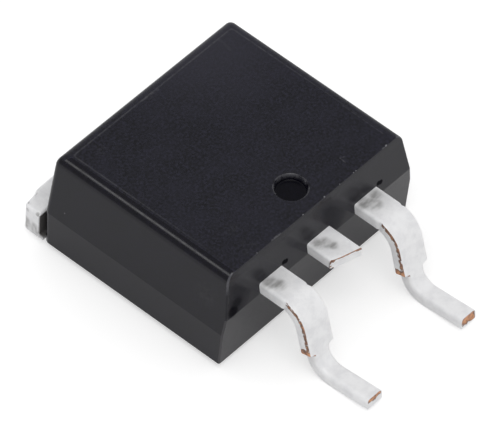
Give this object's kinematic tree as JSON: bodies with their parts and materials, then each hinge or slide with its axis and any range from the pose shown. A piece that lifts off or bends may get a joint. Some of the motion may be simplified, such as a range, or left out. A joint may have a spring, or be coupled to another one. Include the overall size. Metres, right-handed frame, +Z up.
{
  "type": "schottky diode",
  "caption": "Surface-mount power rectifier: black moulded body on a copper heat sink with a rear tab, gull-wing anode leads and a cropped centre lead.",
  "frame": {"origin": "on the seating plane that the lead heels touch, at the middle of the outline seen from above", "axes": "+Z up from the board, -Y the way the leads point, +Y towards the tab, X across the body"},
  "size_m": [0.0102, 0.0146, 0.0046],
  "materials": {
    "epoxy_moulding": "matte black moulded epoxy with a faint blue cast",
    "tinned_heat_sink": "matte tin plating on copper, bare copper at the sheared edges",
    "tinned_lead": "matte tin plating on copper, bare copper at the sheared edges",
    "silicon": "sawn silicon with a metallised top",
    "solder": "dull solder",
    "bond_wire": "drawn aluminium wire"
  },
  "bodies": {
    "root": {"mould_body": "epoxy_moulding", "heat_sink_tab": "tinned_heat_sink", "anode_lead_left": "tinned_lead", "anode_lead_right": "tinned_lead", "diode_die_left": "silicon", "diode_die_right": "silicon", "die_solder_left": "solder", "die_solder_right": "solder", "bond_wire_left": "bond_wire", "bond_wire_right": "bond_wire"}
  },
  "joints": []
}
